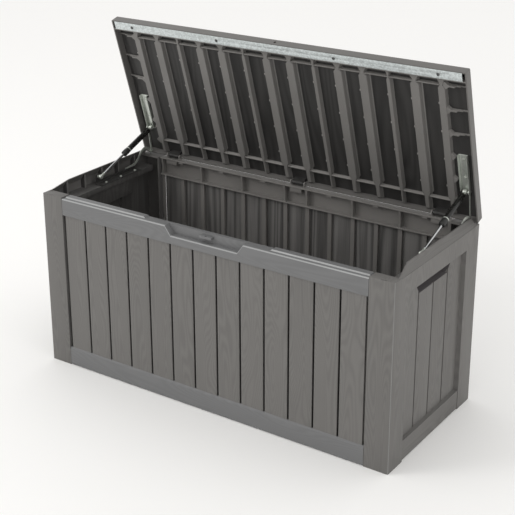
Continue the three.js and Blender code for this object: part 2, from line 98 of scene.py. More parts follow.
def grained_resin(name, tone, along, pitch=0.0, across="X", contrast=0.13, relief=0.00016,
                  turn=0.0, rough=0.56, rings=44.0, stretch=0.13):
    """Moulded resin with wood grain running along one axis, and a new piece of grain on each board."""
    material, tree, place = bare_material(name)
    if turn:
        place = fit(tree, "ShaderNodeMapping", {"Vector": place, "Rotation": (turn, 0, 0)}).outputs[0]
    axes = fit(tree, "ShaderNodeSeparateXYZ", {0: place}).outputs
    grain = {axis: axes[axis] for axis in "XYZ"}
    if pitch:
        board = sums(tree, "ROUND", sums(tree, "DIVIDE", axes[across], pitch))
        number = fit(tree, "ShaderNodeTexWhiteNoise", {"W": board}, noise_dimensions="1D")
        shift = sums(tree, "MULTIPLY", number.outputs["Value"], 9.0)
        grain[across] = sums(tree, "ADD", axes[across], shift)
        grain[along] = sums(tree, "ADD", axes[along], shift)
    stretched = {axis: grain[axis] for axis in "XYZ"}
    stretched[along] = sums(tree, "MULTIPLY", grain[along], stretch)
    flow = fit(tree, "ShaderNodeCombineXYZ", dict(zip(range(3), (stretched[a] for a in "XYZ"))))
    field = fit(tree, "ShaderNodeTexNoise", {
        "Vector": flow.outputs[0], "Scale": 11.0, "Detail": 1.2, "Roughness": 0.45, "Distortion": 0.25,
    }).outputs[0]
    wave = sums(tree, "SINE", sums(tree, "MULTIPLY", field, rings * 2 * math.pi))
    ring = sums(tree, "MULTIPLY_ADD", wave, 0.5, 0.5)
    fine = {axis: grain[axis] for axis in "XYZ"}
    fine[along] = sums(tree, "MULTIPLY", grain[along], 0.018)
    strands = fit(tree, "ShaderNodeCombineXYZ", dict(zip(range(3), (fine[a] for a in "XYZ"))))
    fibre = fit(tree, "ShaderNodeTexNoise", {
        "Vector": strands.outputs[0], "Scale": 420.0, "Detail": 2.0, "Roughness": 0.6,
    }).outputs[0]
    cloud = fit(tree, "ShaderNodeTexNoise", {
        "Vector": place, "Scale": 5.0, "Detail": 3.0, "Roughness": 0.6,
    }).outputs[0]
    # Growth rings, fibres and a slow drift make the tone, and each board differs a little.
    shares = [(ring, 0.5), (fibre, 0.7), (cloud, 0.35)]
    if pitch:
        shares.append((number.outputs["Value"], 0.22))
    level = sums(tree, "MULTIPLY", blend(tree, *shares), 0.8)
    dark = [c * (1 - contrast) for c in tone]
    light = [c * (1 + contrast) for c in tone]
    colour = two_tones(tree, level, dark, light, 0.28, 0.92)
    height = blend(tree, (ring, 0.6), (fibre, 0.8))
    bump = fit(tree, "ShaderNodeBump", {"Strength": 0.55, "Distance": relief, "Height": height})
    gloss = sums(tree, "MULTIPLY_ADD", fibre, 0.22, rough - 0.11)
    shader = fit(tree, "ShaderNodeBsdfPrincipled", {
        "Base Color": colour, "Roughness": gloss, "Normal": bump.outputs[0],
        "Specular IOR Level": 0.4,
    })
    fit(tree, "ShaderNodeOutputMaterial", {0: shader.outputs[0]})
    return material


def smooth_resin(name, tone, rough=0.5, grit=900.0, relief=0.00008):
    """Resin with the fine spark-eroded texture of the mould, for rails, ribs and edges."""
    material, tree, place = bare_material(name)
    spark = fit(tree, "ShaderNodeTexNoise", {"Vector": place, "Scale": grit, "Detail": 1.0}).outputs[0]
    cloud = fit(tree, "ShaderNodeTexNoise", {"Vector": place, "Scale": 7.0, "Detail": 4.0}).outputs[0]
    colour = two_tones(tree, blend(tree, (cloud, 0.7), (spark, 0.3)),
                       [c * 0.9 for c in tone], [c * 1.1 for c in tone], 0.3, 0.7)
    bump = fit(tree, "ShaderNodeBump", {"Strength": 0.5, "Distance": relief, "Height": spark})
    shader = fit(tree, "ShaderNodeBsdfPrincipled", {
        "Base Color": colour, "Normal": bump.outputs[0], "Specular IOR Level": 0.4,
        "Roughness": sums(tree, "MULTIPLY_ADD", spark, 0.2, rough - 0.1),
    })
    fit(tree, "ShaderNodeOutputMaterial", {0: shader.outputs[0]})
    return material


def sized_tree(name, sizes):
    """An empty geometry tree with named inputs, and the node that hands them out."""
    tree = bpy.data.node_groups.new(name, "GeometryNodeTree")
    tree.interface.new_socket("Geometry", in_out="OUTPUT", socket_type="NodeSocketGeometry")
    for label, kind in sizes.items():
        tree.interface.new_socket(label, in_out="INPUT", socket_type="NodeSocket" + kind)
    return tree, fit(tree, "NodeGroupInput").outputs


def end_tree(tree, instances, finish):
    """Every tree ends in real geometry with its finish on it."""
    real = fit(tree, "GeometryNodeRealizeInstances", {0: instances}).outputs[0]
    painted = fit(tree, "GeometryNodeSetMaterial", {"Geometry": real, "Material": finish}).outputs[0]
    fit(tree, "NodeGroupOutput", {0: painted})
    return tree


def board_row_tree():
    """Boards side by side along X, each standing along Z, with round edges and a crowned back."""
    tree, size = sized_tree("Row of boards", {
        "Boards": "Int", "Pitch": "Float", "Width": "Float", "Thickness": "Float",
        "Length": "Float", "Edge": "Float", "Crown": "Float", "Finish": "Material",
    })
    outline = fit(tree, "GeometryNodeCurvePrimitiveQuadrilateral", {
        "Width": size["Width"], "Height": size["Thickness"],
    }).outputs[0]
    eased = fit(tree, "GeometryNodeFilletCurve", {
        "Curve": outline, "Radius": size["Edge"], "Count": 3,
    }, mode="POLY").outputs[0]
    points = fit(tree, "GeometryNodeSubdivideCurve", {"Curve": eased, "Cuts": 5}).outputs[0]
    end = fit(tree, "GeometryNodeFillCurve", {"Curve": points}, mode="NGONS").outputs[0]
    rise = fit(tree, "ShaderNodeCombineXYZ", {2: size["Length"]}).outputs[0]
    body = fit(tree, "GeometryNodeExtrudeMesh", {
        "Mesh": end, "Offset": rise, "Offset Scale": 1.0, "Individual": False,
    }).outputs[0]
    foot = fit(tree, "GeometryNodeFlipFaces", {0: end}).outputs[0]
    both = fit(tree, "GeometryNodeJoinGeometry")
    tree.links.new(body, both.inputs[0])
    tree.links.new(foot, both.inputs[0])
    board = fit(tree, "GeometryNodeMergeByDistance", {
        "Geometry": both.outputs[0], "Distance": 0.00002,
    }).outputs[0]
    where = fit(tree, "ShaderNodeSeparateXYZ", {
        0: fit(tree, "GeometryNodeInputPosition").outputs[0],
    }).outputs
    half = sums(tree, "MULTIPLY", size["Width"], 0.5)
    share = sums(tree, "DIVIDE", where["X"], half)
    dome = sums(tree, "SUBTRACT", 1.0, sums(tree, "MULTIPLY", share, share))
    behind = sums(tree, "GREATER_THAN", where["Y"], 0.0)
    push = sums(tree, "MULTIPLY", sums(tree, "MULTIPLY", dome, behind), size["Crown"])
    crowned = fit(tree, "GeometryNodeSetPosition", {
        "Geometry": board, "Offset": fit(tree, "ShaderNodeCombineXYZ", {1: push}).outputs[0],
    }).outputs[0]
    span = sums(tree, "MULTIPLY", size["Pitch"], sums(tree, "SUBTRACT", size["Boards"], 1.0))
    first = fit(tree, "ShaderNodeCombineXYZ", {0: sums(tree, "MULTIPLY", span, -0.5)}).outputs[0]
    step = fit(tree, "ShaderNodeCombineXYZ", {0: size["Pitch"]}).outputs[0]
    line = fit(tree, "GeometryNodeMeshLine", {
        "Count": size["Boards"], "Start Location": first, "Offset": step,
    }).outputs[0]
    row = fit(tree, "GeometryNodeInstanceOnPoints", {"Points": line, "Instance": crowned}).outputs[0]
    return end_tree(tree, row, size["Finish"])


def piece_row_tree():
    """Copies of one moulded shape, set out in even steps from a start."""
    tree, size = sized_tree("Row of moulded shapes", {
        "Shape": "Object", "Count": "Int", "Start": "Vector", "Step": "Vector", "Finish": "Material",
    })
    shape = fit(tree, "GeometryNodeObjectInfo", {"Object": size["Shape"]})
    line = fit(tree, "GeometryNodeMeshLine", {
        "Count": size["Count"], "Start Location": size["Start"], "Offset": size["Step"],
    }).outputs[0]
    row = fit(tree, "GeometryNodeInstanceOnPoints", {
        "Points": line, "Instance": shape.outputs["Geometry"],
    }).outputs[0]
    return end_tree(tree, row, size["Finish"])


def grow(tree, **sizes):
    """What a geometry tree makes with these sizes, as a plain mesh."""
    holder = bpy.data.objects.new("growing", bpy.data.meshes.new("growing"))
    bpy.context.scene.collection.objects.link(holder)
    growth = holder.modifiers.new("growth", "NODES")
    growth.node_group = tree
    for socket in tree.interface.items_tree:
        if socket.in_out == "INPUT":
            growth[socket.identifier] = sizes[socket.name]
    bpy.context.view_layer.update()
    ready = holder.evaluated_get(bpy.context.evaluated_depsgraph_get())
    mesh = bpy.data.meshes.new_from_object(ready)
    bpy.data.objects.remove(holder)
    return mesh


def loft(mould, rings, finish=0):
    """A closed skin through rings of points, with both ends capped, added to a mould."""
    loops = [[mould.verts.new(point) for point in ring] for ring in rings]
    count = len(loops[0])
    for one, two in zip(loops, loops[1:]):
        for i in range(count):
            j = (i + 1) % count
            mould.faces.new((one[i], one[j], two[j], two[i])).material_index = finish
    mould.faces.new(reversed(loops[0])).material_index = finish
    mould.faces.new(loops[-1]).material_index = finish


def slab(mould, low, high, finish=0, ease=0.0006):
    """A block of resin with its edges eased."""
    made = bmesh.ops.create_cube(mould, size=1)
    middle = [(a + b) / 2 for a, b in zip(low, high)]
    spans = [b - a for a, b in zip(low, high)]
    for vert in made["verts"]:
        vert.co = Vector([m + c * s for m, c, s in zip(middle, vert.co, spans)])
    edges = list({edge for vert in made["verts"] for edge in vert.link_edges})
    faces = list({face for vert in made["verts"] for face in vert.link_faces})
    for face in faces:
        face.material_index = finish
    bmesh.ops.bevel(mould, geom=edges, offset=min(ease, min(spans) * 0.3), segments=2,
                    affect="EDGES", profile=0.5, material=-1)


def pour(mould, mesh, finish=0, matrix=None):
    """Adds a ready mesh to a mould, all in one finish."""
    start = len(mould.faces)
    mould.from_mesh(mesh)
    mould.faces.ensure_lookup_table()
    fresh = mould.faces[start:]
    for face in fresh:
        face.material_index = finish
    if matrix:
        verts = list({vert for face in fresh for vert in face.verts})
        bmesh.ops.transform(mould, matrix=matrix, verts=verts)


def add_mould(mould, other, finish):
    """Adds a finished mould to another, all in one finish."""
    mesh = bpy.data.meshes.new("added")
    other.to_mesh(mesh)
    other.free()
    pour(mould, mesh, finish)


def turn_out(name, mould, finishes, body, replaced=(), soft_angle=28):
    """The finished piece: faces outwards, curves smooth, on its body."""
    bmesh.ops.recalc_face_normals(mould, faces=mould.faces)
    limit = math.radians(soft_angle)
    for face in mould.faces:
        face.smooth = True
    for edge in mould.edges:
        edge.smooth = len(edge.link_faces) == 2 and edge.calc_face_angle(3) < limit
    mesh = bpy.data.meshes.new(name)
    mould.to_mesh(mesh)
    mould.free()
    for finish in finishes:
        mesh.materials.append(finish)
    piece = bpy.data.objects.new(name, mesh)
    bpy.context.scene.collection.objects.link(piece)
    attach(piece, body)
    if replaced:
        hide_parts(*replaced)
    return piece


def as_shape(mould):
    """A mould as a hidden object, for a tree to copy or for a cut."""
    bmesh.ops.recalc_face_normals(mould, faces=mould.faces)
    mesh = bpy.data.meshes.new("shape")
    mould.to_mesh(mesh)
    mould.free()
    shape = bpy.data.objects.new("shape", mesh)
    bpy.context.scene.collection.objects.link(shape)
    return shape


def cut_out(mould, cutter):
    """What is left of a mould once another has been cut out of it."""
    whole, tool = as_shape(mould), as_shape(cutter)
    cut = whole.modifiers.new("cut", "BOOLEAN")
    cut.operation, cut.object, cut.solver, cut.use_self = "DIFFERENCE", tool, "EXACT", True
    bpy.context.view_layer.update()
    ready = whole.evaluated_get(bpy.context.evaluated_depsgraph_get())
    rest = bmesh.new()
    rest.from_mesh(bpy.data.meshes.new_from_object(ready))
    bpy.data.objects.remove(whole)
    bpy.data.objects.remove(tool)
    return rest


def paint_highlight(mould, finish, lean, least=0.4, where=None):
    """Paints a highlight: gives the faces that lean one way a lighter finish of their own, where the
    place allows it.
    """
    bmesh.ops.recalc_face_normals(mould, faces=mould.faces)
    for face in mould.faces:
        if all(a == 0 or b * a > least for a, b in zip(lean, face.normal)):
            if where is None or where(face.calc_center_median()):
                face.material_index = finish


resin_tone = (0.137, 0.132, 0.126)
inside_tone = (0.118, 0.114, 0.110)
wall_pitch = 0.082
wall_boards = 13
board_finish = grained_resin("board_resin", resin_tone, "Z", wall_pitch)
rail_tone = (0.148, 0.149, 0.151)
rail_finish = grained_resin("rail_resin", rail_tone, "X", contrast=0.07, relief=0.00012, rough=0.46)
inside_finish = grained_resin("inside_board_resin", inside_tone, "Z", wall_pitch, contrast=0.55,
                              relief=0.0004, rough=0.5, rings=12.0, stretch=0.035)
edge_finish = smooth_resin("inside_edge_resin", (0.182, 0.174, 0.165))
# Painted highlight: a light, glossier resin for the rounded edges of the top rail.
painted_edge_highlight = smooth_resin("painted_edge_highlight_resin", (0.33, 0.335, 0.335), rough=0.35)
# Painted shade: a near-black finish for the insides of the deep grooves between the boards.
groove_shade_finish = smooth_resin("painted_groove_shade_resin", (0.030, 0.029, 0.028), rough=0.8)
# Places of the finishes on the front and back walls; the last is the wall's own: the painted edge
# highlight on the front, the outward grain on the back.
on_board, on_edge, on_rail, in_groove_shade, on_own = range(5)

board_row = board_row_tree()
piece_row = piece_row_tree()

low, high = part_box("front_panel")
rail_end = high.x - 0.0007
wall_low, wall_top = low.z, high.z
rail_foot, rail_neck = 0.063, 0.513
front_face = low.y


def boards_and_ridges(mould, face, inward, board_top, ridge_top):
    """The boards between the rails, and the U-shaped ridge behind each groove."""
    groove_width, board_foot, ridge_foot = 0.006, rail_foot - 0.007, wall_low + 0.003
    boards = grow(board_row, Boards=wall_boards, Pitch=wall_pitch, Width=wall_pitch - groove_width,
                  Thickness=0.005, Length=board_top - board_foot, Edge=0.0016,
                  Crown=0.0035, Finish=board_finish)
    stand = Matrix.Translation((0, face + inward * 0.0065, board_foot))
    pour(mould, boards, on_board, stand @ Matrix.Diagonal((1, inward, 1, 1)))
    ridge = bmesh.new()
    half, wall, depth = 0.0068, 0.0024, 0.0102
    outline = [(-half, 0), (-half, depth), (half, depth), (half, 0), (half - wall, 0),
               (half - wall, depth - wall), (wall - half, depth - wall), (wall - half, 0)]
    loft(ridge, [[(x, y, z) for x, y in outline] for z in (0, ridge_top - ridge_foot)])
    shape = as_shape(ridge)
    # The outermost ridges stand just clear of the corner posts.
    ridges = grow(piece_row, Shape=shape, Count=wall_boards - 1,
                  Start=(-wall_pitch * (wall_boards - 2) / 2, 0, 0), Step=(wall_pitch, 0, 0),
                  Finish=edge_finish)
    bpy.data.objects.remove(shape)
    pour(mould, ridges, on_edge, Matrix.Translation((0, face + inward * 0.0078, ridge_foot))
         @ Matrix.Diagonal((1, inward, 1, 1)))
    # Each ridge is open to the groove, and the groove inside it is painted dark as shade.
    for facet in mould.faces:
        spot = facet.calc_center_median()
        off_groove = abs(abs(spot.x) / wall_pitch % 1 - 0.5) * wall_pitch
        if (facet.material_index == on_edge and off_groove < half - wall + 0.0002
                and (spot.y - face) * inward < 0.0175):
            facet.material_index = in_groove_shade
    # A narrow strip ends the row of ridges beside each post.
    for side in (-1, 1):
        ends = sorted((side * rail_end, side * (rail_end - 0.0112)))
        y0, y1 = sorted((face + inward * 0.0135, face + inward * 0.018))
        slab(mould, (ends[0], y0, ridge_foot), (ends[1], y1, ridge_top), on_edge)


def bottom_rail(mould, face, inward):
    """The bottom rail, with the flange that carries the floor."""
    outline = [(0, wall_low), (0, rail_foot - 0.007), (0.0006, rail_foot - 0.0055),
               (0.004, rail_foot), (0.0085, rail_foot), (0.0085, wall_low + 0.004),
               (0.049, wall_low + 0.004), (0.049, wall_low)]
    loft(mould, [[(x, face + inward * d, z) for d, z in outline] for x in (-rail_end, rail_end)],
         on_rail)


def top_rail(mould, face):
    """The hollow top rail: lip, raised ledge and finger notch, as sections along X."""
    shoulder, ledge, notch = wall_top - 0.004, wall_top, 0.538
    roof, notch_roof = 0.562, 0.534
    # Each station: its X, then the heights of the lip, the middle, the back and the hollow's roof.
    stations = [(rail_end, shoulder, shoulder, shoulder, roof),
                (0.5345, shoulder, shoulder, shoulder, roof),
                (0.5322, shoulder, ledge, ledge, roof),
                (0.2262, shoulder, ledge, ledge, roof),
                (0.2205, shoulder, shoulder, shoulder, roof),
                (0.1500, shoulder, shoulder, shoulder, roof),
                (0.1376, shoulder, shoulder, shoulder, notch_roof),
                (0.1170, notch, notch, shoulder, notch_roof)]
    stations += [(-x, *rest) for x, *rest in reversed(stations)]
    rings = []
    for x, lip, middle, back, hollow in stations:
        outline = [(0, rail_neck), (0, lip - 0.003), (0.0009, lip - 0.0009), (0.003, lip),
                   (0.0128, lip), (0.0148, middle), (0.0216, middle), (0.0226, back),
                   (0.0342, back), (0.036, back - 0.0016), (0.036, rail_neck), (0.032, rail_neck),
                   (0.032, hollow), (0.0062, hollow), (0.0062, rail_neck)]
        rings.append([(x, face + d, z) for d, z in outline])
    loft(mould, rings, on_rail)


front = bmesh.new()
boards_and_ridges(front, front_face, 1, rail_neck + 0.007, wall_top - 0.009)
# The ridges in the middle end under the finger notch.
notch_half, notch_floor = 0.135, 0.5345
for vert in front.verts:
    if abs(vert.co.x) < notch_half and vert.co.z > 0.55:
        vert.co.z = notch_floor
bottom_rail(front, front_face, 1)
top_rail(front, front_face)
# Keeper tab: a small block on the back of the notch, drilled for the padlock.
keeper = bmesh.new()
slab(keeper, (-0.021, front_face + 0.0095, 0.5500), (0.021, front_face + 0.0235, 0.5580),
     on_rail, 0.0012)
drill = bmesh.new()
bmesh.ops.create_cone(drill, segments=20, radius1=0.0036, radius2=0.0036, depth=0.02, cap_ends=True,
                      matrix=Matrix.Translation((0, front_face + 0.0148, 0.556)))
add_mould(front, cut_out(keeper, drill), on_rail)
# The rounded lip and ledge of the top rail are painted lighter as a highlight, all but the keeper.
paint_highlight(front, on_own, (0, -1, 1), least=0.3,
       where=lambda c: c.z > 0.52 and not (abs(c.x) < 0.03 and c.y > front_face + 0.009))
turn_out("front_wall", front, (board_finish, edge_finish, rail_finish, groove_shade_finish, painted_edge_highlight),
         "box", ["front_panel"])

# ---- Back wall -----------------------------------------------------------------------------------
# The same resin moulding turned round: its boards face the rear. Inside it has a shelf along the rim
# with the hinge lugs on top, a ledge below, webs between the two, and a block under each hinge.
low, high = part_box("back_panel")
back_face = high.y
shelf_depth, shelf_lip, wall_thick = 0.027, 0.0046, 0.0062
ledge_top, ledge_thick = 0.512, 0.0042
board_end, ridge_end, shelf_foot = ledge_top - 0.0015, ledge_top - 0.003, ledge_top - 0.0035
hinge_pins = [nodes[f"hinge_pin_{name}"] for name in ("left", "middle", "right")]
hinge_x = [sum(c.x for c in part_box(pin.name)) / 2 for pin in hinge_pins]
hinge_y = sum(c.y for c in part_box(hinge_pins[1].name)) / 2
hinge_z = sum(c.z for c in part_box(hinge_pins[1].name)) / 2

back = bmesh.new()
boards_and_ridges(back, back_face, -1, board_end, ridge_end)
bottom_rail(back, back_face, -1)
shelf = bmesh.new()
shelf_y = back_face - shelf_depth
outline = [(back_face, shelf_foot), (back_face, wall_top - 0.0025),
           (back_face - 0.001, wall_top - 0.0008), (back_face - 0.0025, wall_top),
           (shelf_y + 0.0015, wall_top), (shelf_y, wall_top - 0.0012), (shelf_y, wall_top - shelf_lip),
           (back_face - wall_thick, wall_top - shelf_lip),
           (back_face - wall_thick, shelf_foot)]
loft(shelf, [[(x, y, z) for y, z in outline] for x in (-rail_end, rail_end)])
slots = bmesh.new()
for x in hinge_x:
    slab(slots, (x - 0.021, hinge_y - 0.008, 0.56), (x + 0.021, hinge_y + 0.006, 0.58), ease=0.001)
add_mould(back, cut_out(shelf, slots), on_edge)
rear = back_face - 0.007
outline = [(shelf_y + 0.001, ledge_top - 0.0008), (shelf_y + 0.002, ledge_top),
           (rear, ledge_top), (rear, ledge_top - ledge_thick),
           (shelf_y + 0.001, ledge_top - ledge_thick)]
loft(back, [[(x, y, z) for y, z in outline] for x in (-rail_end, rail_end)], on_edge)
# Webs between the ledge and the shelf, in pairs, and one close to each post.
web = bmesh.new()
outline = [(rear, ledge_top - 0.001), (shelf_y + 0.004, ledge_top - 0.001), (shelf_y + 0.004, 0.543),
           (shelf_y + 0.001, 0.552), (shelf_y + 0.001, wall_top - 0.003), (rear, wall_top - 0.003)]
loft(web, [[(x, y, z) for y, z in outline] for x in (-0.003, 0.003)])
web = as_shape(web)
end_web = 0.530
for start, step in ((-4.5 * wall_pitch, 2 * wall_pitch), (-0.5 * wall_pitch, wall_pitch),
                    (2.5 * wall_pitch, 2 * wall_pitch), (-end_web, 2 * end_web)):
    webs = grow(piece_row, Shape=web, Count=2, Start=(start, 0, 0), Step=(step, 0, 0),
                Finish=edge_finish)
    pour(back, webs, on_edge)
bpy.data.objects.remove(web)
# Short blocks hang from the shelf between the webs.
tooth = bmesh.new()
slab(tooth, (-0.009, shelf_y + 0.001, 0.559), (0.009, rear, wall_top - 0.003), 0, 0.001)
tooth = as_shape(tooth)
for start in (-5.5 * wall_pitch, 1.5 * wall_pitch):
    teeth = grow(piece_row, Shape=tooth, Count=3, Start=(start, 0, 0), Step=(2 * wall_pitch, 0, 0),
                 Finish=edge_finish)
    pour(back, teeth, on_edge)
bpy.data.objects.remove(tooth)
ear_radius, ear_half, ear_out = 0.0068, 0.0019, 0.025
for x in hinge_x:
    slab(back, (x - 0.0215, shelf_y + 0.003, 0.550), (x + 0.0215, rear, wall_top - 0.003), on_edge,
         0.0015)
    for side in (-1, 1):
        # Each lug is an upright ear, round at the top, that the pin runs through.
        reach = [(-ear_radius, wall_top - 0.001), (ear_radius, wall_top - 0.001)]
        reach += [(ear_radius * math.cos(a), hinge_z + ear_radius * math.sin(a))
                  for a in (math.pi * i / 10 for i in range(11))]
        ear = [[(x + side * ear_out + dx, hinge_y + y, z) for y, z in reach]
               for dx in (-ear_half, ear_half)]
        loft(back, ear, on_edge)
back_piece = turn_out("back_wall", back, (inside_finish, edge_finish, rail_finish, groove_shade_finish,
                                          board_finish),
                      "box", ["back_panel"])
# The outward faces of the rear boards carry the same grain as the front.
for face in back_piece.data.polygons:
    if face.material_index == on_board and face.normal.y > 0.2:
        face.material_index = on_own

# ---- Side walls with their corner posts ----------------------------------------------------------
# Each side is one moulding of the same resin with two corner posts in it: a sunk field of four boards,
# a hand grip under the top beam, a bevelled rim, and inside it webs and a ledge for the strut arm.


def eased_copy(node, width, segments=2, angle=30, corner=0.0):
    """A copy of a node's shape with its doubles merged and its edges rounded over.

    With a corner radius, the long outer edges of the posts are rounded first.
    """
    def post_corner(edge):
        foot = edge.verts[0].co
        outward = Vector((foot.x, foot.y, 0))
        return (len(edge.link_faces) == 2 and abs(foot.x) > 0.61
                and abs(foot.z - edge.verts[1].co.z) > 0.3 and edge.calc_face_angle(0) > 1
                and all(face.normal.dot(outward) > 0 for face in edge.link_faces))

    mould = bmesh.new()
    mould.from_mesh(nodes[node].data)
    bmesh.ops.remove_doubles(mould, verts=mould.verts, dist=0.00001)
    bmesh.ops.dissolve_limit(mould, angle_limit=math.radians(1), verts=mould.verts, edges=mould.edges)
    if corner:
        bmesh.ops.bevel(mould, geom=[e for e in mould.edges if post_corner(e)], offset=corner,
                        segments=3, affect="EDGES", profile=0.5, clamp_overlap=True)
    sharp = [e for e in mould.edges if len(e.link_faces) == 2
             and e.calc_face_angle(0) > math.radians(angle)]
    bmesh.ops.bevel(mould, geom=sharp, offset=width, segments=segments, affect="EDGES",
                    profile=0.5, clamp_overlap=True)
    return mould


side_pitch = 0.0875
side_finish = grained_resin("side_board_resin", resin_tone, "Z", side_pitch, "Y")
post_finish = grained_resin("post_resin", resin_tone, "Z", contrast=0.12)
beam_finish = grained_resin("beam_resin", resin_tone, "Y", contrast=0.12)
# The inside of the side walls has the inside grain, painted a fifth darker as shade.
inner_side_grain_and_shade = grained_resin("inside_side_grain_and_shade_resin", tuple(c * 0.8 for c in inside_tone), "Z",
                                  side_pitch, "Y", contrast=0.2, relief=0.0003, rings=12.0)
# Painted shade: a near-black finish for the webs under the rim, in the shade of the beam.
web_shade_finish = smooth_resin("side_web_painted_shade", (0.050, 0.047, 0.046))
# Painted shade inside the hand grip's pocket under the beam.
grip_shade_finish = smooth_resin("grip_painted_shade", (0.115, 0.108, 0.110))
# Painted highlight on the rounded outer corners of the posts.
corner_highlight_finish = smooth_resin("painted_corner_highlight_resin", (0.235, 0.235, 0.230), rough=0.4)
# Painted light: a lighter finish on the inner face of the rim, where the light falls.
rim_highlight_finish = smooth_resin("inside_rim_painted_light", (0.145, 0.140, 0.134))
side_finishes = (side_finish, post_finish, beam_finish, inner_side_grain_and_shade, grip_shade_finish,
                 corner_highlight_finish, rim_highlight_finish, web_shade_finish)
middle_y = (front_face + back_face) / 2
# Heights, and distances from the middle of the wall, where one finish gives way to the next.
grip_low, grip_high, grip_half = 0.469, 0.534, 0.1225
ledge_low, ledge_high, ledge_half = 0.530, 0.560, 0.220
rim_low, web_low, rim_half = 0.541, 0.545, 0.200
post_start, slot_out = 0.176, 0.2525


def side_wall_finish(spot, out, side):
    """The finish of a face of a side wall, from where it is and which way it looks; the rim, webs, grip
    and inside carry painted light or shade.
    """
    beside, depth, looks_in = abs(spot.y - middle_y), abs(spot.x), -out.x * side
    if spot.z > rim_low and beside < rim_half and depth < 0.6145 and looks_in > 0.5:
        return rim_highlight_finish
    if spot.z > web_low and beside < rim_half and abs(out.y) > 0.9:
        return web_shade_finish
    if 0.5725 < depth < 0.6 and grip_low < spot.z < grip_high and beside < grip_half:
        return grip_shade_finish
    on_ledge = ledge_low < spot.z < ledge_high and out.z > 0.5 and beside < ledge_half and depth < 0.606
    inner = depth < 0.594 and abs(out.y) < 0.5 and out.z < 0.5 and beside < 0.215
    if on_ledge or looks_in > 0.3 or inner:
        return inner_side_grain_and_shade
    if beside > post_start:
        return post_finish
    if spot.z > rail_neck - 0.001 or spot.z < rail_foot + 0.001:
        return beam_finish
    return side_finish


for name, side in (("left", -1), ("right", 1)):
    wall = eased_copy(f"{name}_side_panel", 0.0009, corner=0.003)
    for face in wall.faces:
        chosen = side_wall_finish(face.calc_center_median(), face.normal, side)
        face.material_index = side_finishes.index(chosen)
    for end in (-1, 1):
        # The rounded outer corner of each post is painted lighter as a highlight.
        paint_highlight(wall, side_finishes.index(corner_highlight_finish), (side, end, 0),
               where=lambda c: abs(c.x) > 0.612)
        # A small vent slot in the cap of each post, near its outer corner, painted as a dark inlay of
        # shade.
        y = middle_y + end * slot_out
        x0, x1 = sorted((side * 0.572, side * 0.590))
        slab(wall, (x0, y - 0.0012, 0.5693), (x1, y + 0.0012, 0.5701),
             side_finishes.index(web_shade_finish), 0.0002)
    turn_out(f"{name}_side_wall", wall, side_finishes, "box", [f"{name}_side_panel"])

# ---- Floor ---------------------------------------------------------------------------------------
# A ribbed tray of the same resin, moulded in one piece, that lies on the flanges of the four walls.
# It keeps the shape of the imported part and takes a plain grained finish.
floor_finish = grained_resin("floor_resin", inside_tone, "X", 0.109, "Y", contrast=0.2)
nodes["floor_panel"].data.materials.clear()
nodes["floor_panel"].data.materials.append(floor_finish)

# ---- Lid -----------------------------------------------------------------------------------------
# One ribbed moulding of the same resin, hung on the hinge pins; it is drawn shut and then swung open.
# Boards show on its outside. Inside, fourteen ribs run from hinge to lip, four of them narrow, between
# cross webs.
lid_angle = math.radians(73)
swing = Matrix.Translation((0, hinge_y, hinge_z)) @ Matrix.Rotation(-lid_angle, 4, "X")
lid_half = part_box("lid_panel")[1].x
lid_reach, lid_rear, lid_top, lid_skirt, skin = 0.492, 0.004, 0.026, -0.003, 0.004
# The ribs and cross webs are painted a quarter lighter than the resin, as lit.
lid_lit_tone = tuple(c * 1.25 for c in resin_tone)
lid_board_finish = grained_resin("lid_board_resin", resin_tone, "Y", wall_pitch, turn=lid_angle)
lid_edge_finish = smooth_resin("lid_edge_resin", resin_tone, rough=0.5)
lid_lit_rib_finish = smooth_resin("lid_rib_painted_light_resin", lid_lit_tone, rough=0.52)
# Painted highlight for the faces of ribs and webs that look towards the lip.
lid_lit_face_finish = smooth_resin("lid_painted_highlight_resin", tuple(c * 2.0 for c in resin_tone), rough=0.5)
# Painted shade: the troughs between the ribs are near black, with a faint grain.
lid_trough_grain_and_shade = grained_resin("lid_trough_painted_shade_resin", (0.028, 0.027, 0.026), "Y",
                                  wall_pitch, contrast=0.35, relief=0.0003, turn=lid_angle, rings=9.0)
in_skirt, on_rib, in_trough_shade, on_lid_board, on_lit_face = range(5)

# Tray: a plate with a sunk field for the boards, and a skirt all round.
tray = bmesh.new()
field_x, field_front, field_rear, sunk = 0.534, -0.451, 0.0, 0.003
under, inner_x = lid_top - skin, lid_half - 0.002
corners = ((-1, -1), (1, -1), (1, 1), (-1, 1))


def tray_ring(x, front_y, rear_y, z):
    """The four corners of the tray at one height."""
    return [tray.verts.new((sx * x, rear_y if sy > 0 else front_y, z)) for sx, sy in corners]


rings = [tray_ring(lid_half, -lid_reach, lid_rear, lid_skirt),
         tray_ring(lid_half, -lid_reach, lid_rear, lid_top),
         tray_ring(field_x, field_front, field_rear, lid_top),
         tray_ring(field_x, field_front, field_rear, lid_top - sunk)]
for one, two in zip(rings, rings[1:]):
    for i in range(4):
        j = (i + 1) % 4
        tray.faces.new((one[i], one[j], two[j], two[i]))
tray.faces.new(rings[-1])
outer = [e for e in tray.edges
         if all(v in rings[1] for v in e.verts) or len({v.co.z for v in e.verts}) == 2
         and all(v in rings[0] + rings[1] for v in e.verts)]
bmesh.ops.bevel(tray, geom=outer, offset=0.004, segments=3, affect="EDGES", profile=0.5)
bmesh.ops.recalc_face_normals(tray, faces=tray.faces)
if max(tray.faces, key=lambda f: f.calc_center_median().z).normal.z < 0:
    bmesh.ops.reverse_faces(tray, faces=tray.faces)
plain = bpy.data.meshes.new("tray")
tray.to_mesh(plain)
tray.free()
shell = bpy.data.objects.new("tray", plain)
bpy.context.scene.collection.objects.link(shell)
